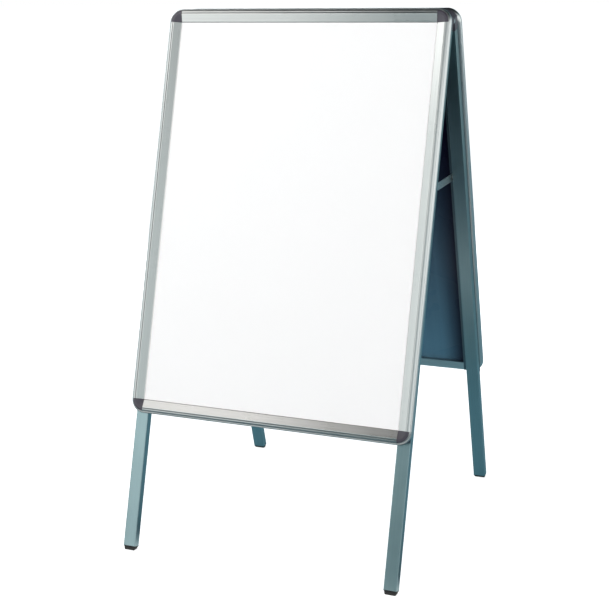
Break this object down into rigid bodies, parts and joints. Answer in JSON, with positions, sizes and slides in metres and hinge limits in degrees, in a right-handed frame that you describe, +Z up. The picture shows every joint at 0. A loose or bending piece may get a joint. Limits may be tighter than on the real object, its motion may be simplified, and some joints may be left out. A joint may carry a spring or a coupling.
{
  "type": "sandwich board",
  "caption": "Folding two-sided pavement board with snap-open poster frames, tube legs, top hinges and folding side stays.",
  "frame": {"origin": "on the ground, at the centre of the four feet's footprint, with the board standing open", "axes": "+Z up, +X across the board, -Y is the way the front panel faces"},
  "size_m": [0.9054, 0.9916, 1.6172],
  "materials": {
    "snap_rail_aluminium": "satin anodised extrusion",
    "frame_aluminium": "satin anodised extrusion",
    "leg_aluminium": "satin anodised tube with drawing lines",
    "leg_plate_aluminium": "mill finish flat bar",
    "corner_plastic": "fine moulded texture, dark grey",
    "hinge_plastic": "fine moulded texture, dark grey",
    "foot_rubber": "matte black",
    "backing_plastic": "smooth dark sheet",
    "poster_paper": "blank white sheet",
    "clear_cover": "clear anti-glare film",
    "stay_steel": "zinc plated strip",
    "rivet_steel": "zinc plated",
    "spring_steel": "spring strip and zinc plated angle"
  },
  "bodies": {
    "front_frame": {"front_backing_sheet": "backing_plastic", "front_bottom_base_rail": "frame_aluminium", "front_bottom_corner_bands": "frame_aluminium", "front_corner_brackets": "spring_steel", "front_corner_caps": "corner_plastic", "front_cover_sheet": "clear_cover", "front_feet": "foot_rubber", "front_left_base_rail": "frame_aluminium", "front_left_hinge_cap": "hinge_plastic", "front_left_leg": "leg_aluminium", "front_leg_plates": "leg_plate_aluminium", "front_leg_rivets": "rivet_steel", "front_poster": "poster_paper", "front_right_base_rail": "frame_aluminium", "front_right_hinge_cap": "hinge_plastic", "front_right_leg": "leg_aluminium", "front_snap_springs": "spring_steel", "front_stay_pivots": "rivet_steel", "front_top_base_rail": "frame_aluminium", "front_top_corner_bands": "frame_aluminium", "left_hinge_pin": "rivet_steel", "right_hinge_pin": "rivet_steel"},
    "back_frame": {"back_backing_sheet": "backing_plastic", "back_bottom_base_rail": "frame_aluminium", "back_bottom_corner_bands": "frame_aluminium", "back_corner_brackets": "spring_steel", "back_corner_caps": "corner_plastic", "back_cover_sheet": "clear_cover", "back_feet": "foot_rubber", "back_left_base_rail": "frame_aluminium", "back_left_hinge_cap": "hinge_plastic", "back_left_leg": "leg_aluminium", "back_leg_plates": "leg_plate_aluminium", "back_leg_rivets": "rivet_steel", "back_poster": "poster_paper", "back_right_base_rail": "frame_aluminium", "back_right_hinge_cap": "hinge_plastic", "back_right_leg": "leg_aluminium", "back_snap_springs": "spring_steel", "back_stay_pivots": "rivet_steel", "back_top_base_rail": "frame_aluminium", "back_top_corner_bands": "frame_aluminium"},
    "back_bottom_snap": {"back_bottom_snap_rail": "snap_rail_aluminium"},
    "back_left_stay": {"back_left_knee_rivet": "rivet_steel", "back_left_stay_link": "stay_steel"},
    "back_left_snap": {"back_left_snap_rail": "snap_rail_aluminium"},
    "back_right_stay": {"back_right_knee_rivet": "rivet_steel", "back_right_stay_link": "stay_steel"},
    "back_right_snap": {"back_right_snap_rail": "snap_rail_aluminium"},
    "back_top_snap": {"back_top_snap_rail": "snap_rail_aluminium"},
    "front_bottom_snap": {"front_bottom_snap_rail": "snap_rail_aluminium"},
    "front_left_stay": {"front_left_knee_rivet": "rivet_steel", "front_left_stay_link": "stay_steel"},
    "front_left_snap": {"front_left_snap_rail": "snap_rail_aluminium"},
    "front_right_stay": {"front_right_knee_rivet": "rivet_steel", "front_right_stay_link": "stay_steel"},
    "front_right_snap": {"front_right_snap_rail": "snap_rail_aluminium"},
    "front_top_snap": {"front_top_snap_rail": "snap_rail_aluminium"}
  },
  "joints": [
    {"name": "fold", "type": "hinge", "parent": "front_frame", "child": "back_frame", "pos_m": [0, 0, 1.57996], "axis": [1, 0, 0], "range_deg": [-33, 0]},
    {"name": "front_top_snap_hinge", "type": "hinge", "parent": "front_frame", "child": "front_top_snap", "pos_m": [0, -0.05108, 1.60187], "axis": [-1, 0, 0], "range_deg": [0, 80]},
    {"name": "front_bottom_snap_hinge", "type": "hinge", "parent": "front_frame", "child": "front_bottom_snap", "pos_m": [0, -0.39701, 0.43403], "axis": [1, 0, 0], "range_deg": [0, 80]},
    {"name": "front_left_snap_hinge", "type": "hinge", "parent": "front_frame", "child": "front_left_snap", "pos_m": [-0.435, -0.22405, 1.01795], "axis": [0, -0.284, -0.9588], "range_deg": [0, 80]},
    {"name": "front_right_snap_hinge", "type": "hinge", "parent": "front_frame", "child": "front_right_snap", "pos_m": [0.435, -0.22405, 1.01795], "axis": [0, 0.284, 0.9588], "range_deg": [0, 80]},
    {"name": "back_top_snap_hinge", "type": "hinge", "parent": "back_frame", "child": "back_top_snap", "pos_m": [0, 0.05108, 1.60187], "axis": [1, 0, 0], "range_deg": [0, 80]},
    {"name": "back_bottom_snap_hinge", "type": "hinge", "parent": "back_frame", "child": "back_bottom_snap", "pos_m": [0, 0.39701, 0.43403], "axis": [-1, 0, 0], "range_deg": [0, 80]},
    {"name": "back_left_snap_hinge", "type": "hinge", "parent": "back_frame", "child": "back_left_snap", "pos_m": [-0.435, 0.22405, 1.01795], "axis": [0, -0.284, 0.9588], "range_deg": [0, 80]},
    {"name": "back_right_snap_hinge", "type": "hinge", "parent": "back_frame", "child": "back_right_snap", "pos_m": [0.435, 0.22405, 1.01795], "axis": [0, 0.284, -0.9588], "range_deg": [0, 80]},
    {"name": "front_left_stay_pivot", "type": "hinge", "parent": "front_frame", "child": "front_left_stay", "pos_m": [-0.3992, -0.15921, 1.10408], "axis": [1, 0, 0], "range_deg": [0, 69.76]},
    {"name": "front_right_stay_pivot", "type": "hinge", "parent": "front_frame", "child": "front_right_stay", "pos_m": [0.3992, -0.15921, 1.10408], "axis": [1, 0, 0], "range_deg": [0, 69.76]},
    {"name": "back_left_stay_pivot", "type": "hinge", "parent": "back_frame", "child": "back_left_stay", "pos_m": [-0.4022, 0.15921, 1.10408], "axis": [1, 0, 0], "range_deg": [-69.76, 0]},
    {"name": "back_right_stay_pivot", "type": "hinge", "parent": "back_frame", "child": "back_right_stay", "pos_m": [0.4022, 0.15921, 1.10408], "axis": [1, 0, 0], "range_deg": [-69.76, 0]}
  ],
  "couplings": [
    {"joint": "front_left_stay_pivot", "follows": "fold", "ratio": -2.1125},
    {"joint": "front_right_stay_pivot", "follows": "fold", "ratio": -2.1125},
    {"joint": "back_left_stay_pivot", "follows": "fold", "ratio": 2.1125},
    {"joint": "back_right_stay_pivot", "follows": "fold", "ratio": 2.1125}
  ]
}
